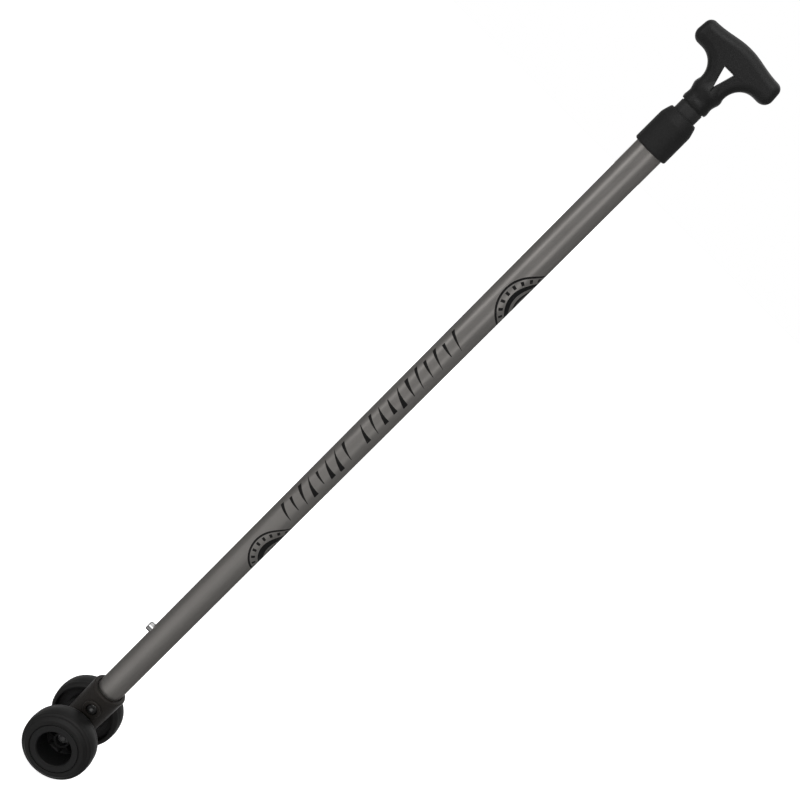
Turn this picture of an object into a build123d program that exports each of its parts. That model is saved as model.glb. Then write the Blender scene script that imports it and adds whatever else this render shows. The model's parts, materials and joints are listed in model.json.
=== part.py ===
"""Telescoping stick with a T-shaped palm grip, a twist-lock collar and a two-wheeled foot.

Millimetres, +Z up. The origin is on the floor under the stick's axis.
The wheel axle lies along Y, the grip's bar along X, and the snap button points to -X.
"""
from build123d import *
import os

os.makedirs("parts", exist_ok=True)

# Heights along the stick
AXLE_Z = 47.0            # axle above the floor, which is also the wheel radius
LINER_Z = 82.0           # bottom of the liner tube, on the floor of the yoke's socket
YOKE_BOLT_Z = 100.5
TUBE_Z = 110.0           # bottom of the main tube, on the step in the yoke's socket
YOKE_TOP_Z = 124.0
BUTTON_Z = 230.0
LINER_TOP_Z = 245.0
UPPER_TUBE_Z = 400.0     # bottom of the upper tube when it is pushed in
COLLAR_Z = 1058.0
TUBE_TOP_Z = 1080.0
COLLAR_TOP_Z = 1107.0
GRIP_Z = 1120.0          # bottom face of the grip

# Tubes
TUBE_OD, TUBE_ID = 35.0, 32.0
LINER_OD, LINER_ID = 31.8, 28.8
UPPER_OD, UPPER_ID = 28.0, 25.0
UPPER_END_R, NECK_GROOVE_H = 13.2, 1.3    # the reduced end in the grip, and the bare band below it
RUN_GAP = 0.05           # radial gap of a running or sliding fit
FREE_GAP = 0.35          # radial gap between round faces that pass each other

# Yoke
YOKE_TOP_R, YOKE_LOW_R = 23.8, 22.4        # the body narrows a little towards its foot
YOKE_RIM_ROUND, BOSS_ROUND = 1.6, 1.4
YOKE_MOUTH_R, YOKE_MOUTH_H = 18.9, 3.5     # widening of the socket's mouth round the main tube
YOKE_FOOT_R = 24.0       # rounding of the yoke's lower end, about the axle
TANG_HALF = 11.0         # half the tang's width between the two hubs
HUB_SCOOP_R = 16.5
BOSS_R, BOSS_FACE = 12.0, 25.5
BOSS_POCKET_R = 8.0
HEAD_SEAT, NUT_SEAT = 18.4, 17.4

# M8 fasteners
M8, M8_HOLE = 8.0, 8.2
M8_FLATS = 13.0
LOW_HEAD_R, LOW_HEAD_H = 6.5, 5.0
HEX_KEY, HEX_KEY_DEPTH = 6.0, 3.0
HEX_HEAD_H = 5.3
NUT_H = 6.5
LOCK_NUT_H, LOCK_NUT_HEX_H, LOCK_NUT_COLLAR_R = 4.8, 3.6, 5.7
THREAD_END = 0.4         # how far the axle's thread stands out of its nut
WASHER_H = 0.6
YOKE_WASHER_R = 7.6

# Wheels: radii, and axial places measured outward from the wheel's middle plane
WHEEL_R = AXLE_Z
WHEEL_MID = 44.0
FACE_A = 17.0            # outer face
TYRE_BORE_R = 32.0
KEY_R, KEY_HALF = 33.5, 3.0       # ring on the rim that keys into the tyre's bore
BEVEL_R, BEVEL_FOOT_R = 38.3, 41.9
STEP_A = 12.3            # step below the bevel
SHOULDER_R = 46.2
LIP_R = 42.0             # outer edge of the flat lip on the inner side
RIM_MOUTH_R = 23.4
WEB_OUT_A, WEB_IN_A = -14.8, -16.6
CUP_R = 27.0             # outside of the rim's cup, in the recess on the inner side
NOSE_A = -5.5
NOSE_R, NOSE_SOCKET_R = 10.4, 8.1
HUB_R = 14.0
HUB_END_A = -32.0
RIBS, RIB_W = 8, 2.5
RECESS_A = -7.0          # floor of the ring-shaped recess on the wheel's inner side
GROOVE_W, GROOVE_H = 1.1, 1.8     # groove between rim and tyre on the outer face

# 608 bearings
BEARING_R, BEARING_W = 11.0, 7.0
RACE_R = 6.0
BEARING_STARTS = (12.4, 21.0)     # distance of each bearing from the stick's middle plane
AXLE_WASHER_R = 5.8
HUB_NUT_SEAT = 29.0

# Snap button
BUTTON_R, BUTTON_TIP = 6.0, 23.9
BUTTON_FLANGE_R = 7.2
BUTTON_FLANGE = (11.1, 12.3)      # distance of the flange's two faces from the stick's axis
LEAF_HALF_W, LEAF_T = 4.0, 0.9
LEAF_BACK_X = 13.4       # where the leaf's free arm rests inside the liner
LEAF_TOP, LEAF_BEND, LEAF_BEND_HALF = BUTTON_Z + 6, BUTTON_Z - 35, 1.2

# Collet and lock collar
COLLET_PLUG_Z = 1050.0
COLLET_FLANGE_R, COLLET_FLANGE_H = 18.4, 4.0
FINGER_R, FINGER_TIP_R = 16.5, 14.95
FINGER_CONE_Z, FINGER_TOP_Z = 1095.5, 1102.5
FINGER_ROOT_H = 3.0       # solid height between the flange and the slots
FINGER_SLOTS, FINGER_SLOT_W = 4, 2.2
COLLAR_R, COLLAR_TOP_R = 21.0, 16.9
COLLAR_TAPER_Z = 1096.5
MOUTH_GAP, MOUTH_H = 0.8, 1.2     # widening of the collar's top bore round the upper tube

# Guide bush
BUSH_Z = 388.0
BUSH_STUB_H, BUSH_WALL = 20.0, 3.0
BEAD_Z, BEAD_H, BEAD_DEPTH = 410.0, 2.0, 0.7

# Grip, heights above its bottom face
GRIP_HALF_T = 14.6       # half the bar's thickness
GRIP_HALF_W = 53.4       # half the bar's length
GRIP_ROUND = 10.0        # rounding of the slab's edges
GRIP_H = 80.0
BAR_BOTTOM_H, BAR_TOP_H = 48.0, 75.0
BAR_ARC_X = 37.4         # where the bar's underside starts to curve down into the web
WEB_R = 16.4
NECK_BEAD_R, NECK_BEAD_H = 17.9, 19.5
HOLE_HALF_W, HOLE_TOP_H, HOLE_POINT_H = 7.0, 50.3, 26.6
GRIP_BORE_H = 19.0
PIN_R, PIN_H, PIN_HALF = 2.5, 6.0, 15.4

AXLE = Axis((0, 0, AXLE_Z), (0, 1, 0))
AXLE_PLANE = Plane.XY.offset(AXLE_Z)


def disc_y(radius, start, end, z):
    """A solid disc along Y between two Y places, added to the part being built."""
    low, high = min(start, end), max(start, end)
    with BuildSketch(Plane.XZ.offset(-low)) as outline:
        with Locations((0, z)):
            Circle(radius)
    extrude(outline.sketch, amount=-(high - low))


def hole_y(radius, start, end, z):
    """A round hole along Y between two Y places, cut from the part being built."""
    low, high = min(start, end), max(start, end)
    with BuildSketch(Plane.XZ.offset(-low)) as outline:
        with Locations((0, z)):
            Circle(radius)
    extrude(outline.sketch, amount=-(high - low), mode=Mode.SUBTRACT)


def hexagon_y(flats, start, end, z):
    """A hexagonal prism along Y between two Y places, added to the part being built."""
    low, high = min(start, end), max(start, end)
    with BuildSketch(Plane.XZ.offset(-low)) as outline:
        with Locations((0, z)):
            RegularPolygon(radius=flats / 2, side_count=6, major_radius=False)
    extrude(outline.sketch, amount=-(high - low))


def ring_z(inner, outer, bottom, top):
    """A plain ring about the stick's axis, added to the part being built."""
    with BuildSketch(Plane.XY.offset(bottom)) as outline:
        Circle(outer)
        Circle(inner, mode=Mode.SUBTRACT)
    extrude(outline.sketch, amount=top - bottom)


def ring_y(inner, outer, start, end, z):
    """A plain ring along Y, added to the part being built."""
    disc_y(outer, start, end, z)
    hole_y(inner, start, end, z)


# ---------------------------------------------------------------- yoke

with BuildPart() as yoke:
    with BuildSketch(Plane.XZ):
        with BuildLine():
            Polyline((0, AXLE_Z - YOKE_FOOT_R), (YOKE_LOW_R, AXLE_Z - YOKE_FOOT_R),
                     (YOKE_LOW_R, AXLE_Z), (YOKE_TOP_R, YOKE_TOP_Z), (0, YOKE_TOP_Z), close=True)
        make_face()
    revolve(axis=Axis.Z)
    with BuildSketch(Plane.XZ):
        with Locations((0, AXLE_Z)):
            Circle(YOKE_FOOT_R)
        with Locations((0, (AXLE_Z + YOKE_TOP_Z) / 2)):
            Rectangle(2 * YOKE_FOOT_R, YOKE_TOP_Z - AXLE_Z)
    extrude(amount=2 * YOKE_TOP_R, both=True, mode=Mode.INTERSECT)
    rim_edge = yoke.edges().filter_by(GeomType.CIRCLE).sort_by(Axis.Z)[-1]
    fillet(rim_edge, radius=YOKE_RIM_ROUND)
    disc_y(BOSS_R, -BOSS_FACE, BOSS_FACE, YOKE_BOLT_Z)
    boss_faces = yoke.faces().filter_by(Axis.Y)
    boss_rims = [face.edges() for face in (boss_faces.sort_by(Axis.Y)[0], boss_faces.sort_by(Axis.Y)[-1])]
    fillet([edge for rim in boss_rims for edge in rim], radius=BOSS_ROUND)
    with BuildSketch(Plane.XY.offset(TUBE_Z)):
        Circle(TUBE_OD / 2 + RUN_GAP)
    extrude(amount=YOKE_TOP_Z - TUBE_Z, mode=Mode.SUBTRACT)
    with BuildSketch(Plane.XY.offset(YOKE_TOP_Z - YOKE_MOUTH_H)):
        Circle(YOKE_MOUTH_R)
    extrude(amount=YOKE_MOUTH_H, mode=Mode.SUBTRACT)
    with BuildSketch(Plane.XY.offset(LINER_Z)):
        Circle(LINER_OD / 2 + RUN_GAP)
    extrude(amount=TUBE_Z - LINER_Z, mode=Mode.SUBTRACT)
    hole_y(M8_HOLE / 2, -BOSS_FACE, BOSS_FACE, YOKE_BOLT_Z)
    hole_y(BOSS_POCKET_R, -BOSS_FACE, -HEAD_SEAT, YOKE_BOLT_Z)
    hole_y(BOSS_POCKET_R, NUT_SEAT, BOSS_FACE, YOKE_BOLT_Z)
    hole_y(M8_HOLE / 2, -YOKE_TOP_R, YOKE_TOP_R, AXLE_Z)
    for side in (-1, 1):
        hole_y(HUB_SCOOP_R, side * TANG_HALF, side * 2 * YOKE_TOP_R, AXLE_Z)
yoke.part.label = "yoke"
export_step(yoke.part, "parts/yoke.step")

with BuildPart() as liner_tube:
    ring_z(LINER_ID / 2, LINER_OD / 2, LINER_Z, LINER_TOP_Z)
    hole_y(M8_HOLE / 2, -LINER_OD, LINER_OD, YOKE_BOLT_Z)
    with BuildSketch(Plane.YZ):
        with Locations((0, BUTTON_Z)):
            Circle(BUTTON_R + RUN_GAP)
    extrude(amount=-TUBE_OD, mode=Mode.SUBTRACT)
liner_tube.part.label = "liner_tube"
export_step(liner_tube.part, "parts/liner_tube.step")

# ---------------------------------------------------------------- yoke clamp bolt

head_face = -(HEAD_SEAT + WASHER_H + LOW_HEAD_H)
nut_inner = NUT_SEAT + WASHER_H

with BuildPart() as yoke_bolt:
    disc_y(LOW_HEAD_R, head_face, head_face + LOW_HEAD_H, YOKE_BOLT_Z)
    head_rim = yoke_bolt.faces().sort_by(Axis.Y)[0].edges()
    chamfer(head_rim, length=0.6)
    with BuildSketch(Plane.XZ.offset(-head_face)):
        with Locations((0, YOKE_BOLT_Z)):
            RegularPolygon(radius=HEX_KEY / 2, side_count=6, major_radius=False)
    extrude(amount=-HEX_KEY_DEPTH, mode=Mode.SUBTRACT)
    disc_y(M8 / 2, head_face + LOW_HEAD_H, nut_inner + NUT_H, YOKE_BOLT_Z)
yoke_bolt.part.label = "yoke_bolt"
export_step(yoke_bolt.part, "parts/yoke_bolt.step")

with BuildPart() as yoke_nut:
    hexagon_y(M8_FLATS, nut_inner, nut_inner + NUT_H, YOKE_BOLT_Z)
    hole_y(M8 / 2 + RUN_GAP, nut_inner, nut_inner + NUT_H, YOKE_BOLT_Z)
yoke_nut.part.label = "yoke_nut"
export_step(yoke_nut.part, "parts/yoke_nut.step")

for name, start in (("yoke_washer_front", -HEAD_SEAT - WASHER_H), ("yoke_washer_back", NUT_SEAT)):
    with BuildPart() as yoke_washer:
        ring_y(M8_HOLE / 2, YOKE_WASHER_R, start, start + WASHER_H, YOKE_BOLT_Z)
    yoke_washer.part.label = name
    export_step(yoke_washer.part, f"parts/{name}.step")

# ---------------------------------------------------------------- axle

nut_front = -HUB_NUT_SEAT - LOCK_NUT_H
washer_out = (BEARING_STARTS[1] + BEARING_W, HUB_NUT_SEAT)
washer_in = (TANG_HALF, BEARING_STARTS[0])

with BuildPart() as axle_bolt:
    hexagon_y(M8_FLATS, HUB_NUT_SEAT, HUB_NUT_SEAT + HEX_HEAD_H, AXLE_Z)
    disc_y(M8 / 2, nut_front - THREAD_END, HUB_NUT_SEAT, AXLE_Z)
    chamfer(axle_bolt.faces().sort_by(Axis.Y)[0].edges(), length=0.8)
axle_bolt.part.label = "axle_bolt"
export_step(axle_bolt.part, "parts/axle_bolt.step")

# a lock nut: its hexagon ends in a round collar
with BuildPart() as axle_nut:
    hexagon_y(M8_FLATS, -HUB_NUT_SEAT, -HUB_NUT_SEAT - LOCK_NUT_HEX_H, AXLE_Z)
    disc_y(LOCK_NUT_COLLAR_R, -HUB_NUT_SEAT, nut_front, AXLE_Z)
    chamfer(axle_nut.faces().sort_by(Axis.Y)[0].edges(), length=0.5)
    hole_y(M8 / 2 + RUN_GAP, -HUB_NUT_SEAT, nut_front, AXLE_Z)
axle_nut.part.label = "axle_nut"
export_step(axle_nut.part, "parts/axle_nut.step")

# ---------------------------------------------------------------- wheels

groove_r = TYRE_BORE_R + GROOVE_W
seat_r = TYRE_BORE_R - 0.02
seat_key_r, seat_key_half = KEY_R - 0.1, KEY_HALF - 0.1
bearing_end_a = BEARING_STARTS[1] + BEARING_W - WHEEL_MID

for wheel, side in (("front", -1), ("back", 1)):

    def at(radius, axial):
        """A point of the wheel's half section: radius from the axle, distance from its middle."""
        return (radius, side * (WHEEL_MID + axial))

    with BuildPart() as tyre:
        with BuildSketch(AXLE_PLANE):
            with BuildLine():
                Polyline(at(groove_r + 0.3, FACE_A), at(BEVEL_R - 1.3, FACE_A))
                ThreePointArc(at(BEVEL_R - 1.3, FACE_A), at(BEVEL_R, FACE_A - 0.3),
                              at(BEVEL_R + 0.9, FACE_A - 1.1))
                Polyline(at(BEVEL_R + 0.9, FACE_A - 1.1), at(BEVEL_FOOT_R, STEP_A + 0.8),
                         at(BEVEL_FOOT_R + 0.3, STEP_A + 0.1), at(BEVEL_FOOT_R + 1.1, STEP_A))
                ThreePointArc(at(BEVEL_FOOT_R + 1.1, STEP_A), at(45.3, 10.8), at(SHOULDER_R, 8))
                ThreePointArc(at(SHOULDER_R, 8), at(WHEEL_R, 0), at(SHOULDER_R, -9))
                ThreePointArc(at(SHOULDER_R, -9), at(45.2, -FACE_A + 3.4), at(LIP_R + 0.8, -FACE_A + 0.5))
                Polyline(at(LIP_R + 0.8, -FACE_A + 0.5), at(LIP_R, -FACE_A), at(LIP_R - 1.4, -FACE_A),
                         at(LIP_R - 2.2, -FACE_A + 0.6), at(LIP_R - 3.4, RECESS_A),
                         at(TYRE_BORE_R, RECESS_A), at(TYRE_BORE_R, -KEY_HALF), at(KEY_R, -KEY_HALF),
                         at(KEY_R, KEY_HALF), at(TYRE_BORE_R, KEY_HALF),
                         at(TYRE_BORE_R, FACE_A - GROOVE_H), at(groove_r, FACE_A - GROOVE_H),
                         at(groove_r, FACE_A - 0.3), at(groove_r + 0.3, FACE_A))
            make_face()
        revolve(axis=AXLE)
    tyre.part.label = f"{wheel}_tyre"
    export_step(tyre.part, f"parts/{wheel}_tyre.step")

    with BuildPart() as rim:
        with BuildSketch(AXLE_PLANE):
            with BuildLine():
                Polyline(at(RIM_MOUTH_R + 0.8, FACE_A), at(seat_r - 0.5, FACE_A),
                         at(seat_r, FACE_A - 0.6), at(seat_r, seat_key_half), at(seat_key_r, seat_key_half),
                         at(seat_key_r, -seat_key_half), at(seat_r, -seat_key_half),
                         at(seat_r, RECESS_A), at(CUP_R, RECESS_A), at(CUP_R - 0.8, WEB_IN_A),
                         at(HUB_R + 1.5, WEB_IN_A), at(HUB_R, WEB_IN_A - 1.5), at(HUB_R, HUB_END_A),
                         at(BEARING_R, HUB_END_A), at(BEARING_R, bearing_end_a),
                         at(NOSE_SOCKET_R, bearing_end_a), at(NOSE_SOCKET_R, NOSE_A),
                         at(NOSE_R - 0.6, NOSE_A), at(NOSE_R, NOSE_A - 0.6), at(NOSE_R, WEB_OUT_A),
                         at(RIM_MOUTH_R - 2.6, WEB_OUT_A), at(RIM_MOUTH_R - 1.0, WEB_OUT_A + 2.0),
                         at(RIM_MOUTH_R, FACE_A - 1.2))
                RadiusArc(at(RIM_MOUTH_R, FACE_A - 1.2), at(RIM_MOUTH_R + 0.8, FACE_A),
                          radius=-side * 1.3)
            make_face()
        revolve(axis=AXLE)
        for turn in range(RIBS):
            rib_plane = Plane(origin=(0, 0, AXLE_Z), x_dir=(1, 0, 0), z_dir=(0, 0, 1))
            rib_plane = rib_plane.rotated((0, (turn + 0.5) * 360 / RIBS, 0))
            with BuildSketch(rib_plane):
                with BuildLine():
                    Polyline(at(NOSE_R - 1.5, WEB_OUT_A - 1), at(NOSE_R - 1.5, NOSE_A - 0.5),
                             at(NOSE_R, NOSE_A - 0.5), at(RIM_MOUTH_R + 1.0, WEB_OUT_A + 1.2),
                             at(RIM_MOUTH_R + 1.0, WEB_OUT_A - 1), close=True)
                make_face()
            extrude(amount=RIB_W / 2, both=True)
    rim.part.label = f"{wheel}_rim"
    export_step(rim.part, f"parts/{wheel}_rim.step")

    for place, start in zip(("inner", "outer"), BEARING_STARTS):
        near, far = side * start, side * (start + BEARING_W)
        with BuildPart() as outer_race:
            ring_y(RACE_R + RUN_GAP, BEARING_R - 0.01, near, far, AXLE_Z)
        outer_race.part.label = f"{wheel}_{place}_bearing_shell"
        export_step(outer_race.part, f"parts/{wheel}_{place}_bearing_shell.step")

        with BuildPart() as inner_race:
            ring_y(M8 / 2 + RUN_GAP, RACE_R, near, far, AXLE_Z)
        inner_race.part.label = f"{wheel}_{place}_bearing_core"
        export_step(inner_race.part, f"parts/{wheel}_{place}_bearing_core.step")

    for place, (near, far) in (("inner", washer_in), ("outer", washer_out)):
        with BuildPart() as axle_washer:
            ring_y(M8 / 2 + RUN_GAP, AXLE_WASHER_R, side * near, side * far, AXLE_Z)
        axle_washer.part.label = f"{wheel}_{place}_axle_washer"
        export_step(axle_washer.part, f"parts/{wheel}_{place}_axle_washer.step")

    with BuildPart() as hub_spacer:
        ring_y(M8 / 2 + RUN_GAP, AXLE_WASHER_R, side * (BEARING_STARTS[0] + BEARING_W),
               side * BEARING_STARTS[1], AXLE_Z)
    hub_spacer.part.label = f"{wheel}_hub_spacer"
    export_step(hub_spacer.part, f"parts/{wheel}_hub_spacer.step")

# ---------------------------------------------------------------- main tube and snap button

with BuildPart() as main_tube:
    ring_z(TUBE_ID / 2, TUBE_OD / 2, TUBE_Z, TUBE_TOP_Z)
    with BuildSketch(Plane.YZ):
        with Locations((0, BUTTON_Z)):
            Circle(BUTTON_R + RUN_GAP)
    extrude(amount=-TUBE_OD, mode=Mode.SUBTRACT)
main_tube.part.label = "main_tube"
export_step(main_tube.part, "parts/main_tube.step")

with BuildPart() as snap_button:
    with BuildSketch(Plane.XZ):
        with BuildLine():
            Polyline((-BUTTON_FLANGE[0], BUTTON_Z), (-BUTTON_FLANGE[0], BUTTON_Z + BUTTON_FLANGE_R),
                     (-BUTTON_FLANGE[1], BUTTON_Z + BUTTON_FLANGE_R),
                     (-BUTTON_FLANGE[1], BUTTON_Z + BUTTON_R), (-BUTTON_TIP + 1.2, BUTTON_Z + BUTTON_R),
                     (-BUTTON_TIP, BUTTON_Z + BUTTON_R - 1.2), (-BUTTON_TIP, BUTTON_Z), close=True)
        make_face()
    revolve(axis=Axis((0, 0, BUTTON_Z), (1, 0, 0)))
    dish = snap_button.faces().sort_by(Axis.X)[0]
    fillet(dish.edges(), radius=0.4)
snap_button.part.label = "snap_button"
export_step(snap_button.part, "parts/snap_button.step")

leaf_front_x = 0.1 - BUTTON_FLANGE[0]
with BuildPart() as snap_spring:
    with BuildSketch(Plane.XZ):
        with BuildLine():
            Polyline((leaf_front_x, LEAF_TOP), (-LEAF_BEND_HALF, LEAF_BEND), (LEAF_BEND_HALF, LEAF_BEND),
                     (LEAF_BACK_X, LEAF_TOP), (LEAF_BACK_X - LEAF_T, LEAF_TOP), (0.9, LEAF_BEND + 2.2),
                     (-0.9, LEAF_BEND + 2.2), (leaf_front_x + LEAF_T, LEAF_TOP), close=True)
        make_face()
    extrude(amount=LEAF_HALF_W, both=True)
snap_spring.part.label = "snap_spring"
export_step(snap_spring.part, "parts/snap_spring.step")

# ---------------------------------------------------------------- collet and lock collar

grip_r = UPPER_OD / 2 + RUN_GAP
with BuildPart() as collet:
    with BuildSketch(Plane.XZ):
        with BuildLine():
            Polyline((grip_r, COLLET_PLUG_Z), (TUBE_ID / 2 - RUN_GAP, COLLET_PLUG_Z),
                     (TUBE_ID / 2 - RUN_GAP, TUBE_TOP_Z), (COLLET_FLANGE_R, TUBE_TOP_Z),
                     (COLLET_FLANGE_R, TUBE_TOP_Z + COLLET_FLANGE_H),
                     (FINGER_R, TUBE_TOP_Z + COLLET_FLANGE_H), (FINGER_R, FINGER_CONE_Z),
                     (FINGER_TIP_R, FINGER_TOP_Z), (grip_r, FINGER_TOP_Z), close=True)
        make_face()
    revolve(axis=Axis.Z)
    slot_z = TUBE_TOP_Z + COLLET_FLANGE_H + FINGER_ROOT_H
    with BuildSketch(Plane.XY.offset(slot_z)):
        with PolarLocations(FINGER_R, FINGER_SLOTS, start_angle=45):
            Rectangle(FINGER_R, FINGER_SLOT_W)
    extrude(amount=FINGER_TOP_Z - slot_z, mode=Mode.SUBTRACT)
collet.part.label = "collet"
export_step(collet.part, "parts/collet.step")

groove_gap = 0.3
cone_r = UPPER_OD / 2 + FREE_GAP
with BuildPart() as lock_collar:
    with BuildSketch(Plane.XZ):
        with BuildLine():
            Polyline((TUBE_OD / 2 + 0.1, COLLAR_Z), (COLLAR_R - 2.5, COLLAR_Z))
            RadiusArc((COLLAR_R - 2.5, COLLAR_Z), (COLLAR_R, COLLAR_Z + 2.5), radius=-2.5)
            Polyline((COLLAR_R, COLLAR_Z + 2.5), (COLLAR_R - 0.2, COLLAR_TAPER_Z - 3))
            Spline((COLLAR_R - 0.2, COLLAR_TAPER_Z - 3), (COLLAR_R - 1.0, COLLAR_TAPER_Z + 1.6),
                   (COLLAR_TOP_R + 0.6, COLLAR_TOP_Z - 1.2), tangents=[(0, 1), (-1, 2.6)])
            Polyline((COLLAR_TOP_R + 0.6, COLLAR_TOP_Z - 1.2), (COLLAR_TOP_R - 0.4, COLLAR_TOP_Z),
                     (cone_r + MOUTH_GAP, COLLAR_TOP_Z), (cone_r + MOUTH_GAP, COLLAR_TOP_Z - MOUTH_H),
                     (cone_r, COLLAR_TOP_Z - MOUTH_H), (cone_r, FINGER_TOP_Z + 0.7),
                     (FINGER_TIP_R + FREE_GAP, FINGER_TOP_Z + 0.7),
                     (FINGER_R + FREE_GAP, FINGER_CONE_Z + 0.2),
                     (FINGER_R + FREE_GAP, TUBE_TOP_Z + COLLET_FLANGE_H + groove_gap),
                     (COLLET_FLANGE_R + 0.1, TUBE_TOP_Z + COLLET_FLANGE_H + groove_gap),
                     (COLLET_FLANGE_R + 0.1, TUBE_TOP_Z - groove_gap),
                     (TUBE_OD / 2 + 0.1, TUBE_TOP_Z - groove_gap), (TUBE_OD / 2 + 0.1, COLLAR_Z))
        make_face()
    revolve(axis=Axis.Z)
lock_collar.part.label = "lock_collar"
export_step(lock_collar.part, "parts/lock_collar.step")

# ---------------------------------------------------------------- upper tube and guide bush

upper_top_z = GRIP_Z + GRIP_BORE_H
with BuildPart() as upper_tube:
    with BuildSketch(Plane.XZ):
        with BuildLine():
            Polyline((UPPER_ID / 2, UPPER_TUBE_Z), (UPPER_OD / 2, UPPER_TUBE_Z),
                     (UPPER_OD / 2, BEAD_Z), (UPPER_OD / 2 - BEAD_DEPTH, BEAD_Z + BEAD_H / 2),
                     (UPPER_OD / 2, BEAD_Z + BEAD_H), (UPPER_OD / 2, GRIP_Z - NECK_GROOVE_H),
                     (UPPER_END_R, GRIP_Z - NECK_GROOVE_H), (UPPER_END_R, upper_top_z),
                     (UPPER_ID / 2, upper_top_z), (UPPER_ID / 2, BEAD_Z + BEAD_H),
                     (UPPER_ID / 2 - BEAD_DEPTH, BEAD_Z + BEAD_H / 2), (UPPER_ID / 2, BEAD_Z),
                     close=True)
        make_face()
    revolve(axis=Axis.Z)
    with BuildSketch(Plane.YZ):
        with Locations((0, GRIP_Z + PIN_H)):
            Circle(PIN_R + RUN_GAP)
    extrude(amount=UPPER_OD, both=True, mode=Mode.SUBTRACT)
upper_tube.part.label = "upper_tube"
export_step(upper_tube.part, "parts/upper_tube.step")

stub_r = UPPER_ID / 2 - RUN_GAP
with BuildPart() as guide_bush:
    with BuildSketch(Plane.XZ):
        with BuildLine():
            Polyline((stub_r - BUSH_WALL, BUSH_Z), (TUBE_ID / 2 - RUN_GAP, BUSH_Z),
                     (TUBE_ID / 2 - RUN_GAP, UPPER_TUBE_Z), (stub_r, UPPER_TUBE_Z), (stub_r, BEAD_Z),
                     (stub_r - BEAD_DEPTH, BEAD_Z + BEAD_H / 2), (stub_r, BEAD_Z + BEAD_H),
                     (stub_r, UPPER_TUBE_Z + BUSH_STUB_H), (stub_r - BUSH_WALL, UPPER_TUBE_Z + BUSH_STUB_H),
                     close=True)
        make_face()
    revolve(axis=Axis.Z)
guide_bush.part.label = "guide_bush"
export_step(guide_bush.part, "parts/guide_bush.step")

# ---------------------------------------------------------------- grip


def above(x, height):
    """A point of the grip's outline: distance from the stick's axis, height above its bottom."""
    return (x, GRIP_Z + height)


with BuildPart() as grip:
    # the bar and the web under it, one rounded slab
    with BuildSketch(Plane.XZ):
        with BuildLine():
            Polyline(above(0, GRIP_H), above(0, NECK_BEAD_H), above(WEB_R, NECK_BEAD_H), above(WEB_R, 27))
            Line(above(BAR_ARC_X, BAR_BOTTOM_H), above(43.4, BAR_BOTTOM_H))
            TangentArc(above(WEB_R, 27), above(BAR_ARC_X, BAR_BOTTOM_H), tangent=(0, 1))
            lower = TangentArc(above(43.4, BAR_BOTTOM_H), above(GRIP_HALF_W, 59), tangent=(1, 0))
            end = TangentArc(above(GRIP_HALF_W, 59), above(GRIP_HALF_W - 0.8, 67.5), tangent=lower % 1)
            upper = TangentArc(above(GRIP_HALF_W - 0.8, 67.5), above(44.5, BAR_TOP_H), tangent=end % 1)
            Spline(above(44.5, BAR_TOP_H), above(27, 76.7), above(12, 79.2), above(0, GRIP_H),
                   tangents=[upper % 1, (-1, 0)])
        make_face()
        mirror(about=Plane.YZ)
    extrude(amount=GRIP_HALF_T, both=True)
    slab_faces = grip.faces().filter_by(Axis.Y)
    slab_rims = [edge for face in slab_faces for edge in face.edges()
                 if (edge @ 0.5).Z > GRIP_Z + NECK_BEAD_H + 0.5]
    fillet(slab_rims, radius=GRIP_ROUND)
    # triangular hole through the web, point down
    with BuildSketch(Plane.XZ) as hole_outline:
        with BuildLine():
            Polyline(above(-HOLE_HALF_W, HOLE_TOP_H), above(HOLE_HALF_W, HOLE_TOP_H),
                     above(0, HOLE_POINT_H), close=True)
        make_face()
        fillet(hole_outline.vertices(), radius=0.8)
    extrude(amount=2 * GRIP_HALF_T, both=True, mode=Mode.SUBTRACT)
    hole_rims = [edge for face in grip.faces().filter_by(Axis.Y) for wire in face.inner_wires()
                 for edge in wire.edges()]
    fillet(hole_rims, radius=1.2)
    # the round neck with its two beads, which fades into the web
    with BuildSketch(Plane.XZ):
        with BuildLine():
            Polyline(above(0, 38), above(0, 0), above(15.1, 0), above(15.6, 0.6))
            Spline(above(15.6, 0.6), above(16.2, 3.2), above(15.5, 10.5), above(NECK_BEAD_R, NECK_BEAD_H),
                   above(WEB_R, 27), above(12.5, 37), above(10, 38))
            Line(above(10, 38), above(0, 38))
        make_face()
    revolve(axis=Axis.Z)
    extrude(hole_outline.sketch, amount=2 * GRIP_HALF_T, both=True, mode=Mode.SUBTRACT)
    # a crease below the hole on both faces
    with BuildSketch(Plane.YZ) as crease:
        with BuildLine():
            Polyline(above(-20, 30), above(-10.5, 30), above(-NECK_BEAD_R, 20.5), above(-20, 20.5),
                     close=True)
        make_face()
        mirror(about=Plane.XZ)
    extrude(amount=0.8, both=True, mode=Mode.SUBTRACT)
    # socket for the upper tube, and the cross hole for its pin
    with BuildSketch(Plane.XY.offset(GRIP_Z)):
        Circle(UPPER_END_R + RUN_GAP)
    extrude(amount=GRIP_BORE_H, mode=Mode.SUBTRACT)
    with BuildSketch(Plane.YZ):
        with Locations(above(0, PIN_H)):
            Circle(PIN_R + RUN_GAP)
    extrude(amount=2 * GRIP_HALF_T, both=True, mode=Mode.SUBTRACT)
grip.part.label = "grip"
export_step(grip.part, "parts/grip.step")

with BuildPart() as grip_pin:
    with BuildSketch(Plane.YZ):
        with Locations(above(0, PIN_H)):
            Circle(PIN_R)
    extrude(amount=PIN_HALF, both=True)
    chamfer(grip_pin.edges().filter_by(GeomType.CIRCLE), length=0.4)
grip_pin.part.label = "grip_pin"
export_step(grip_pin.part, "parts/grip_pin.step")
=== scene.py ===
import json
import math

import bmesh
import bpy
from mathutils import Matrix, Vector


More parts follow.
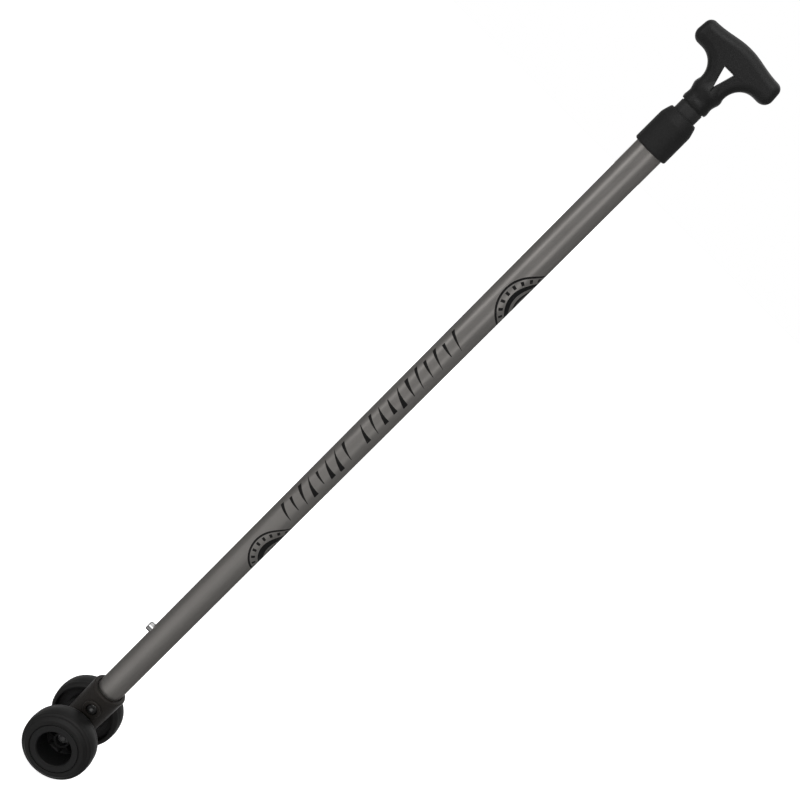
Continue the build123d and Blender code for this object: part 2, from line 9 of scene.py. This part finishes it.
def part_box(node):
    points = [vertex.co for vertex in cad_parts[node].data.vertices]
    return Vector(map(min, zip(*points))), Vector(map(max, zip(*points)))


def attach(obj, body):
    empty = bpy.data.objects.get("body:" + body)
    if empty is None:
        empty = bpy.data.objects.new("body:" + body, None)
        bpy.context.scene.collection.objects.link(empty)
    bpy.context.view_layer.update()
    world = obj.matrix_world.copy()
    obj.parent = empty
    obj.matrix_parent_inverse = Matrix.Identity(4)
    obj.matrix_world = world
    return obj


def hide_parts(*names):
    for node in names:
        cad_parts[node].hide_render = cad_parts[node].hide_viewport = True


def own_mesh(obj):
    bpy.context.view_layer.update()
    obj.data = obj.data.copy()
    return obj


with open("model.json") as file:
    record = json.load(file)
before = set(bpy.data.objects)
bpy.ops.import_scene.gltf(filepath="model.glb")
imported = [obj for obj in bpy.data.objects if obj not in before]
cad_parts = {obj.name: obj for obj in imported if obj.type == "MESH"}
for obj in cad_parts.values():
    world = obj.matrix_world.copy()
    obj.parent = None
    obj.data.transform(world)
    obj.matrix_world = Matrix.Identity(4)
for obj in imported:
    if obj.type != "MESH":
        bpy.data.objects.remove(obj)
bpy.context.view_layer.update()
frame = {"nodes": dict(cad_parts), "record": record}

X, Y = 0, 1              # places of two of the axes in a set of three coordinates
SHARP_ANGLE = math.radians(40)

# Places and sizes, in metres, all taken from the frame
TUBE_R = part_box("main_tube")[1].x
HALF_GIRTH = math.pi * TUBE_R
NUT_FRONT_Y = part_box("axle_nut")[0].y
tyre_low, tyre_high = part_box("front_tyre")
AXLE_Z = (tyre_low.z + tyre_high.z) / 2

# Printed marks on the main tube, in metres. start, end, gap and middle_z are heights above the floor;
# middle and middle_u are distances round the tube from its front, to the right of it.
FRONT_ROW = {"start": 0.468, "end": 0.776, "middle": -0.0025, "half_width": 0.0138, "period": 0.0154,
             "gap": (0.5912, 0.6066)}
SIDE_ROW = {"start": 0.472, "end": 0.80, "middle": -0.0455, "half_width": 0.0095, "period": 0.0145}
# Each ring of an emblem is its radius and half its width, as fractions of the emblem's radius.
LOW_EMBLEM = {"middle_u": 0.0348, "middle_z": 0.4245, "radius": 0.040,
              "rings": ((0.97, 0.03), (0.6, 0.1), (0.34, 0.06))}
HIGH_EMBLEM = {"middle_u": 0.0348, "middle_z": 0.849, "radius": 0.041,
               "rings": ((0.97, 0.03), (0.66, 0.07), (0.43, 0.05), (0.22, 0.05))}
# An emblem's ring of ticks: how many, and its radius and half its width in the same fractions. A tick is
# drawn where a sine wave round the emblem is above TICK_CUT.
EMBLEM_TICKS, TICK_RING, TICK_HALF_LENGTH, TICK_CUT = 22, 0.84, 0.06, 0.45


# ---------------------------------------------------------------- helpers

def placed(name, data):
    """A new object in the scene that shows data."""
    made = bpy.data.objects.new(name, data)
    bpy.context.scene.collection.objects.link(made)
    return made


class Nodes:
    """Short calls for the nodes of one tree."""

    def __init__(self, tree):
        self.tree = tree

    def add(self, kind, **settings):
        node = self.tree.nodes.new(kind)
        for key, value in settings.items():
            setattr(node, key, value)
        return node

    def feed(self, socket, value):
        """Links a socket, or sets it when value is a number or a colour."""
        if isinstance(value, bpy.types.NodeSocket):
            self.tree.links.new(value, socket)
        else:
            socket.default_value = value

    def math(self, operation, a, b=0.0, c=0.0):
        node = self.add("ShaderNodeMath", operation=operation)
        for socket, value in zip(node.inputs, (a, b, c)):
            self.feed(socket, value)
        return node.outputs[0]

    def span(self, value, low, high, to_low=0.0, to_high=1.0, shape="LINEAR"):
        """Maps value from low..high to to_low..to_high, clamped."""
        node = self.add("ShaderNodeMapRange", interpolation_type=shape)
        for socket, number in zip(node.inputs, (value, low, high, to_low, to_high)):
            self.feed(socket, number)
        return node.outputs[0]

    def ease(self, value, low, high, to_low, to_high):
        """The same as span, with both ends of the ramp rounded off."""
        return self.span(value, low, high, to_low, to_high, shape="SMOOTHSTEP")

    def axes(self, vector):
        node = self.add("ShaderNodeSeparateXYZ")
        self.feed(node.inputs[0], vector)
        return node.outputs


class Shader(Nodes):
    """One material's node tree, with the nodes that the finishes share."""

    SOCKETS = {"color": "Base Color", "metallic": "Metallic", "roughness": "Roughness",
               "normal": "Normal", "specular": "Specular IOR Level", "tint": "Specular Tint",
               "glow_color": "Emission Color", "glow": "Emission Strength"}

    def __init__(self, name):
        self.material = bpy.data.materials.new(name)
        self.material.use_nodes = True
        super().__init__(self.material.node_tree)
        self.surface = self.tree.nodes["Principled BSDF"]
        self.place = self.add("ShaderNodeTexCoord").outputs["Object"]

    def noise(self, scale, detail=3.0, roughness=0.5, stretch=None):
        """Noise from 0 to 1 in object space; scale is in features per metre."""
        node = self.add("ShaderNodeTexNoise")
        place = self.place
        if stretch:
            mapping = self.add("ShaderNodeMapping")
            mapping.inputs["Scale"].default_value = stretch
            self.feed(mapping.inputs["Vector"], self.place)
            place = mapping.outputs["Vector"]
        self.feed(node.inputs["Vector"], place)
        node.inputs["Scale"].default_value = scale
        node.inputs["Detail"].default_value = detail
        node.inputs["Roughness"].default_value = roughness
        return node.outputs["Fac"]

    def blend(self, amount, first, second):
        """A colour between two colours."""
        node = self.add("ShaderNodeMix", data_type="RGBA")
        colors = [socket for socket in node.inputs if socket.type == "RGBA"]
        for socket, value in zip((node.inputs["Factor"], *colors), (amount, first, second)):
            self.feed(socket, value)
        return next(socket for socket in node.outputs if socket.type == "RGBA")

    def bump(self, height, distance, strength=1.0, normal=None):
        node = self.add("ShaderNodeBump")
        node.inputs["Distance"].default_value = distance
        node.inputs["Strength"].default_value = strength
        self.feed(node.inputs["Height"], height)
        if normal is not None:
            self.feed(node.inputs["Normal"], normal)
        return node.outputs["Normal"]

    def set(self, **values):
        for key, value in values.items():
            self.feed(self.surface.inputs[self.SOCKETS[key]], value)
        return self.material


def grey(value, warmth=0.0):
    """A near-neutral linear colour; warmth above 0 leans to brown."""
    return (value * (1 + warmth), value, value * (1 - warmth), 1.0)


# ---------------------------------------------------------------- finishes

def moulded_plastic(name, value, rough, grain, warmth=0.0, seam=None):
    """Textured injection-moulded plastic: fine spark grain, faint flow mottling, rubbed patches.

    seam is the axis across which a fine mould line runs round the middle.
    """
    s = Shader(name)
    mottle = s.noise(38, detail=4)
    rubbed = s.span(s.noise(14, detail=5, roughness=0.62), 0.56, 0.72)
    fine = s.noise(grain, detail=2, roughness=0.6)
    speck = s.span(s.noise(grain * 0.45, detail=1), 0.62, 0.7)
    color = s.blend(mottle, grey(value * 0.8, warmth), grey(value * 1.25, warmth))
    color = s.blend(s.math("MULTIPLY", rubbed, 0.3), color, grey(value * 1.6, warmth))
    roughness = s.math("ADD", s.span(mottle, 0.3, 0.7, rough - 0.05, rough + 0.06),
                       s.math("MULTIPLY", rubbed, -0.07))
    height = s.math("ADD", fine, s.math("MULTIPLY", speck, 0.6))
    normal = s.bump(height, distance=0.0002, strength=0.75)
    if seam is not None:
        line = s.span(s.math("ABSOLUTE", s.axes(s.place)[seam]), 0.00012, 0.0003, 1.0, 0.0)
        normal = s.bump(line, distance=0.00012, strength=0.8, normal=normal)
    tint = (1.0, 1.0 - 0.7 * warmth, 1.0 - warmth, 1.0)
    return s.set(color=color, roughness=roughness, normal=normal, specular=0.22, tint=tint)


def tyre_rubber():
    """Smooth rubber: mould haze, and a little dust in patches."""
    s = Shader("tyre_rubber")
    haze = s.noise(55, detail=5, roughness=0.6)
    dust = s.span(s.noise(120, detail=6, roughness=0.7), 0.58, 0.8)
    fine = s.noise(1500, detail=2, roughness=0.55)
    color = s.blend(haze, grey(0.0035, 0.03), grey(0.006, 0.03))
    color = s.blend(s.math("MULTIPLY", dust, 0.2), color, grey(0.018, 0.08))
    roughness = s.span(haze, 0.3, 0.7, 0.47, 0.57)
    normal = s.bump(fine, distance=0.00008, strength=0.5)
    return s.set(color=color, roughness=roughness, normal=normal, specular=0.18)


def satin_black_tube():
    """The upper tube: matte black, with fine drawing lines and light rubbing from the collet."""
    s = Shader("black_tube")
    lines = s.noise(1100, detail=3, roughness=0.6, stretch=(1, 1, 0.03))
    cloud = s.noise(60, detail=4)
    rub = s.span(s.noise(420, detail=5, roughness=0.7, stretch=(1, 1, 0.12)), 0.62, 0.74)
    color = s.blend(cloud, grey(0.007), grey(0.011))
    color = s.blend(s.math("MULTIPLY", rub, 0.35), color, grey(0.03))
    roughness = s.span(lines, 0.3, 0.7, 0.46, 0.56)
    normal = s.bump(lines, distance=0.00003, strength=0.5)
    return s.set(color=color, roughness=roughness, normal=normal, specular=0.3)


def turned_steel(name, value, rough, scratches):
    """Machined or plated steel: fine turning lines and faint tarnish."""
    s = Shader(name)
    lines = s.noise(scratches, detail=3, roughness=0.6, stretch=(1, 14, 1))
    tarnish = s.noise(90, detail=5, roughness=0.6)
    color = s.blend(tarnish, grey(value * 0.8, 0.01), grey(value))
    roughness = s.math("ADD", s.span(lines, 0.3, 0.7, rough - 0.06, rough + 0.08),
                       s.span(tarnish, 0.4, 0.8, 0.0, 0.08))
    normal = s.bump(lines, distance=0.00004, strength=0.4)
    return s.set(color=color, metallic=1.0, roughness=roughness, normal=normal)


def mark_row(s, u, z, start, end, middle, half_width, period, gap=None):
    """A long row of abstract pointed slashes, of uneven slant, width and length, along the tube.

    gap is a pair of heights between which the row is left bare.
    """
    across = s.math("DIVIDE", s.math("SUBTRACT", u, middle), half_width)
    along = s.math("DIVIDE", s.math("SUBTRACT", z, start), period)
    pick = s.add("ShaderNodeTexWhiteNoise", noise_dimensions="1D")
    s.feed(pick.inputs["W"], s.math("FLOOR", along))
    chance = pick.outputs["Value"]
    other = s.math("FRACT", s.math("MULTIPLY", chance, 7.3))
    shift = s.math("MULTIPLY", across, s.span(chance, 0, 1, 0.16, 0.34))
    offset = s.math("ABSOLUTE", s.math("SUBTRACT", s.math("ADD", s.math("FRACT", along), shift), 0.5))
    taper = s.span(s.math("MULTIPLY", across, s.math("SIGN", s.math("SUBTRACT", other, 0.5))),
                   -1.0, 1.0, 0.02, 1.0)
    slash = s.math("LESS_THAN", offset, s.math("MULTIPLY", taper, s.span(other, 0, 1, 0.16, 0.27)))
    length = s.math("LESS_THAN", s.math("ABSOLUTE", across), s.span(chance, 0, 1, 0.62, 1.0))
    inside = s.math("MULTIPLY", s.math("GREATER_THAN", z, start), s.math("LESS_THAN", z, end))
    if gap:
        off_gap = s.math("ABSOLUTE", s.math("SUBTRACT", z, (gap[0] + gap[1]) / 2))
        inside = s.math("MULTIPLY", inside, s.math("GREATER_THAN", off_gap, (gap[1] - gap[0]) / 2))
    return s.math("MULTIPLY", s.math("MULTIPLY", slash, length), inside)


def mark_emblem(s, u, z, middle_u, middle_z, radius, rings):
    """A round emblem: a few plain rings and a ring of short radial ticks."""
    du = s.math("WRAP", s.math("SUBTRACT", u, middle_u), HALF_GIRTH, -HALF_GIRTH)
    dz = s.math("SUBTRACT", z, middle_z)
    r = s.math("DIVIDE", s.math("SQRT", s.math("ADD", s.math("MULTIPLY", du, du),
                                               s.math("MULTIPLY", dz, dz))), radius)
    turn = s.math("ARCTAN2", dz, du)
    ticks = s.math("GREATER_THAN", s.math("SINE", s.math("MULTIPLY", turn, EMBLEM_TICKS)), TICK_CUT)
    belt = s.math("LESS_THAN", s.math("ABSOLUTE", s.math("SUBTRACT", r, TICK_RING)), TICK_HALF_LENGTH)
    mark = s.math("MULTIPLY", ticks, belt)
    for place, width in rings:
        ring = s.math("LESS_THAN", s.math("ABSOLUTE", s.math("SUBTRACT", r, place)), width)
        mark = s.math("MAXIMUM", mark, ring)
    return mark


def anodised_tube():
    """Satin gunmetal anodising with fine drawing lines, printed abstract marks and light scuffs."""
    s = Shader("anodised_tube")
    x, y, z = s.axes(s.place)
    u = s.math("MULTIPLY", s.math("ARCTAN2", x, s.math("MULTIPLY", y, -1)), TUBE_R)
    lines = s.noise(900, detail=3, roughness=0.6, stretch=(1, 1, 0.03))
    grain = s.noise(2600, detail=2, roughness=0.6)
    cloud = s.noise(22, detail=4)
    scuff = s.span(s.noise(260, detail=6, roughness=0.75, stretch=(1, 1, 0.35)), 0.68, 0.76)
    metal = s.blend(cloud, grey(0.18, 0.05), grey(0.215, 0.05))
    metal = s.blend(s.math("MULTIPLY", s.span(grain, 0.35, 0.65), 0.34), metal, grey(0.29, 0.04))
    metal = s.blend(s.math("MULTIPLY", scuff, 0.4), metal, grey(0.42, 0.03))
    rows = s.math("MAXIMUM", mark_row(s, u, z, **FRONT_ROW), mark_row(s, u, z, **SIDE_ROW))
    emblems = s.math("MAXIMUM", mark_emblem(s, u, z, **LOW_EMBLEM), mark_emblem(s, u, z, **HIGH_EMBLEM))
    worn = s.span(s.noise(700, detail=5, roughness=0.7), 0.66, 0.72, 1.0, 0.35)
    ink = s.math("MULTIPLY", s.math("MAXIMUM", rows, emblems), worn)
    color = s.blend(ink, metal, grey(0.004))
    roughness = s.math("ADD", s.span(lines, 0.3, 0.7, 0.28, 0.40), s.math("MULTIPLY", ink, 0.22))
    metallic = s.span(ink, 0, 1, 0.85, 0.0)
    height = s.math("ADD", s.math("MULTIPLY", lines, 0.6), ink)
    normal = s.bump(height, distance=0.00005, strength=0.7)
    normal = s.bump(grain, distance=0.00003, strength=0.35, normal=normal)
    return s.set(color=color, metallic=metallic, roughness=roughness, normal=normal, specular=0.25,
                 tint=(0.4, 0.4, 0.39, 1.0))


FINISHES = {
    "anodised_tube": anodised_tube(),
    "black_tube": satin_black_tube(),
    "yoke_plastic": moulded_plastic("yoke_plastic", 0.0075, rough=0.42, grain=1500, warmth=0.12, seam=X),
    "grip_plastic": moulded_plastic("grip_plastic", 0.0052, rough=0.4, grain=1300, seam=Y),
    "collar_plastic": moulded_plastic("collar_plastic", 0.0055, rough=0.58, grain=1700),
    "tyre_rubber": tyre_rubber(),
    "rim_plastic": moulded_plastic("rim_plastic", 0.0045, rough=0.48, grain=1500),
    "nylon": moulded_plastic("nylon", 0.03, rough=0.5, grain=1500),
    "black_steel": turned_steel("black_steel", 0.2, rough=0.25, scratches=900),
    "zinc_steel": turned_steel("zinc_steel", 0.12, rough=0.3, scratches=800),
    "bearing_steel": turned_steel("bearing_steel", 0.3, rough=0.28, scratches=900),
    "spring_steel": turned_steel("spring_steel", 0.35, rough=0.34, scratches=900),
    "polished_steel": turned_steel("polished_steel", 0.5, rough=0.1, scratches=700),
}

for part in frame["record"]["subparts"]:
    mesh = frame["nodes"][part["node"]].data
    mesh.materials.clear()
    mesh.materials.append(FINISHES[part["material_slot"]])


# ---------------------------------------------------------------- small pieces on the CAD parts

def skin(name, sections, closed, finish):
    """A smooth-shaded piece through a run of sections, each a list of as many points.

    A closed run joins its last section to its first; an open one gets a flat face at each end.
    """
    built = bmesh.new()
    rows = [[built.verts.new(point) for point in section] for section in sections]
    for row, following in zip(rows, rows[1:] + rows[:1] if closed else rows[1:]):
        for k, point in enumerate(row):
            j = (k + 1) % len(row)
            built.faces.new((point, row[j], following[j], following[k]))
    if not closed:
        built.faces.new(rows[0])
        built.faces.new(rows[-1])
    bmesh.ops.recalc_face_normals(built, faces=built.faces)
    for face in built.faces:
        face.smooth = True
    for edge in built.edges:
        edge.smooth = edge.calc_face_angle(0.0) < SHARP_ANGLE
    mesh = bpy.data.meshes.new(name)
    built.to_mesh(mesh)
    built.free()
    mesh.materials.append(FINISHES[finish])
    piece = placed(name, mesh)
    return piece


def turned_about_y(outline, z, steps=96):
    """Sections round an axis along Y at height z; outline is a list of (radius, y)."""
    turns = [2 * math.pi * step / steps for step in range(steps)]
    return [[(r * math.cos(turn), y, z + r * math.sin(turn)) for r, y in outline] for turn in turns]


def oval(middle_r, middle_y, half_r, half_y, steps=16):
    """An oval section as (radius, y) points."""
    turns = [2 * math.pi * k / steps for k in range(steps)]
    return [(middle_r + half_r * math.cos(turn), middle_y + half_y * math.sin(turn)) for turn in turns]


def tangent_turn(point, middle, radius, side):
    """The direction from a circle's middle to where a line from point touches it; side is 1 or -1."""
    away = point - middle
    return math.atan2(away.y, away.x) + side * math.acos(radius / away.length)


def leaf_line(front, back, middle, radius, steps=14):
    """The leaf spring's middle line in X and Z: two straight arms and the round bend between them."""
    start = tangent_turn(front, middle, radius, 1)
    end = tangent_turn(back, middle, radius, -1) + 2 * math.pi
    turns = [start + (end - start) * k / steps for k in range(steps + 1)]
    bend = [middle + radius * Vector((math.cos(turn), math.sin(turn))) for turn in turns]
    return [front, *bend, back]


def strip_sections(line, half_w, half_t):
    """Sections of a flat strip whose middle line lies in X and Z and whose width is along Y."""
    ahead = line[1:] + line[-1:]
    behind = line[:1] + line[:-1]
    sections = []
    for point, before, after in zip(line, behind, ahead):
        along = (after - before).normalized()
        out = half_t * Vector((-along.y, along.x))
        corners = ((out, half_w), (out, -half_w), (-out, -half_w), (-out, half_w))
        sections.append([(point.x + offset.x, y, point.y + offset.y) for offset, y in corners])
    return sections


# The nylon insert, which stands a little out of the lock nut's collar, round the axle's thread. In metres.
INSERT_R, INSERT_HALF_W, INSERT_PROUD = 0.0046, 0.0005, 0.00028
insert_section = oval(INSERT_R, NUT_FRONT_Y, INSERT_HALF_W, INSERT_PROUD)
nut_insert = skin("nut_insert", turned_about_y(insert_section, AXLE_Z), closed=True, finish="nylon")
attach(nut_insert, "stick")

# The snap button's leaf spring with its round bend. In metres.
LEAF_HALF_T, LEAF_BEND_R, PRESS_CLEARANCE = 0.00045, 0.0016, 0.0001
leaf_low, leaf_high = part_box("snap_spring")
leaf_middle = Vector((0.0, leaf_low.z + LEAF_BEND_R + LEAF_HALF_T))
leaf_front = Vector((leaf_low.x + LEAF_HALF_T, leaf_high.z - LEAF_HALF_T))
leaf_back = Vector((leaf_high.x - LEAF_HALF_T, leaf_high.z - LEAF_HALF_T))
leaf_route = leaf_line(leaf_front, leaf_back, leaf_middle, LEAF_BEND_R)
leaf_sections = strip_sections(leaf_route, leaf_high.y, LEAF_HALF_T)
leaf_spring = skin("leaf_spring", leaf_sections, closed=False, finish="spring_steel")
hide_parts("snap_spring")
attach(leaf_spring, "stick")
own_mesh(leaf_spring)


# ---------------------------------------------------------------- floor

FLOOR_HALF = 14.0        # metres
FLOOR_SHADES, FLOOR_GLOW = (0.86, 0.88), 0.72


def pale_floor():
    """A pale grey that glows a little, so that it looks about as white as the backdrop."""
    s = Shader("pale_floor")
    pale = s.blend(s.noise(3, detail=3), *(grey(shade) for shade in FLOOR_SHADES))
    return s.set(color=pale, roughness=0.9, specular=0.1, glow_color=grey(1), glow=FLOOR_GLOW)


floor_mesh = bpy.data.meshes.new("floor")
corners = [(x * FLOOR_HALF, y * FLOOR_HALF, 0) for x, y in ((-1, -1), (1, -1), (1, 1), (-1, 1))]
floor_mesh.from_pydata(corners, [], [(0, 1, 2, 3)])
floor_mesh.materials.append(pale_floor())
floor = placed("floor", floor_mesh)
floor.visible_glossy = False


# ---------------------------------------------------------------- light

# Light of the studio room, in world strength. Each soft strip is given by its bearing from straight
# in front of the stick (degrees, to the right), its half width in degrees and its strength. The high
# set and the low set blend between LOW_BELOW and HIGH_ABOVE, and the overhead light begins at
# OVERHEAD_ABOVE, each the vertical part of a direction.
BACKDROP = 1.0
HIGH_ROOM, LOW_ROOM = 0.28, 0.20
HIGH_STRIPS = ((-60, 21, 1.65), (24, 20, 1.25), (163, 17, 1.4), (-158, 15, 1.0))
LOW_STRIPS = ((-22, 60, 0.53), (163, 30, 0.9), (-158, 20, 0.6))
LOW_BELOW, HIGH_ABOVE = -0.42, -0.22
OVERHEAD, OVERHEAD_ABOVE = 0.7, 0.4
# The key light is a round softbox: bearing and elevation of its middle, half its spread, strength
KEY_BEARING, KEY_ELEVATION, KEY_SPREAD = math.radians(-14), math.radians(34), math.radians(28)
KEY_STRENGTH = 3.2


def strips(s, bearing, rows):
    """The light of one set of soft strips, added up."""
    total = 0.0
    for middle, half_width, strength in rows:
        off = s.math("WRAP", s.math("SUBTRACT", bearing, math.radians(middle)), math.pi, -math.pi)
        soft = s.ease(s.math("ABSOLUTE", off), 0, math.radians(half_width), strength, 0)
        total = s.math("ADD", total, soft)
    return total


def studio_light(s):
    """The strength of the light that falls on the object, by the direction it comes from."""
    direction = s.add("ShaderNodeTexCoord").outputs["Generated"]
    x, y, z = s.axes(direction)
    bearing = s.math("ARCTAN2", x, s.math("MULTIPLY", y, -1))
    high = s.math("MULTIPLY", strips(s, bearing, HIGH_STRIPS), s.ease(z, LOW_BELOW, HIGH_ABOVE, 0, 1))
    low = s.math("MULTIPLY", strips(s, bearing, LOW_STRIPS), s.ease(z, LOW_BELOW, HIGH_ABOVE, 1, 0))
    room = s.ease(z, LOW_BELOW, HIGH_ABOVE, LOW_ROOM, HIGH_ROOM)
    overhead = s.ease(z, OVERHEAD_ABOVE, 1.0, 0, OVERHEAD)
    towards_key = s.add("ShaderNodeVectorMath", operation="DOT_PRODUCT")
    s.feed(towards_key.inputs[0], direction)
    towards_key.inputs[1].default_value = (math.sin(KEY_BEARING) * math.cos(KEY_ELEVATION),
                                           -math.cos(KEY_BEARING) * math.cos(KEY_ELEVATION),
                                           math.sin(KEY_ELEVATION))
    key = s.ease(towards_key.outputs["Value"], math.cos(KEY_SPREAD), 1.0, 0, KEY_STRENGTH)
    around = s.math("ADD", s.math("ADD", high, low), s.math("ADD", overhead, room))
    return s.math("ADD", around, key)


def studio_world():
    """A plain pale backdrop for the camera, and soft light from all round for the object."""
    world = bpy.data.worlds.new("studio")
    world.use_nodes = True
    world.node_tree.nodes.clear()
    s = Nodes(world.node_tree)
    mix, output = s.add("ShaderNodeMixShader"), s.add("ShaderNodeOutputWorld")
    s.feed(mix.inputs[0], s.add("ShaderNodeLightPath").outputs["Is Camera Ray"])
    for socket, strength in zip(mix.inputs[1:], (studio_light(s), BACKDROP)):
        background = s.add("ShaderNodeBackground")
        background.inputs["Color"].default_value = grey(1)
        s.feed(background.inputs["Strength"], strength)
        s.feed(socket, background.outputs[0])
    s.feed(output.inputs["Surface"], mix.outputs[0])
    return world


bpy.context.scene.world = studio_world()


# ---------------------------------------------------------------- camera

# The direction of the photograph's lower view, rolled so that the stick runs from the lower left to the
# upper right. Places are in metres.
CAMERA_PLACE, CAMERA_TARGET = Vector((-0.06, -1.45, 1.13)), Vector((0, 0, 0.668))
CAMERA_ROLL = math.radians(45)
LENS_MM, SENSOR_MM = 60.0, 36.0


def look_from(viewer, place, target, roll):
    """Puts viewer at place, looking at target and rolled about its line of sight."""
    turn = (target - place).to_track_quat("-Z", "Y").to_matrix().to_4x4()
    viewer.matrix_world = Matrix.Translation(place) @ turn @ Matrix.Rotation(roll, 4, "Z")


camera_data = bpy.data.cameras.new("camera")
camera_data.lens = LENS_MM
camera_data.sensor_width = SENSOR_MM
camera = placed("camera", camera_data)
look_from(camera, CAMERA_PLACE, CAMERA_TARGET, CAMERA_ROLL)
bpy.context.scene.camera = camera
bpy.context.scene.view_settings.view_transform = "Standard"
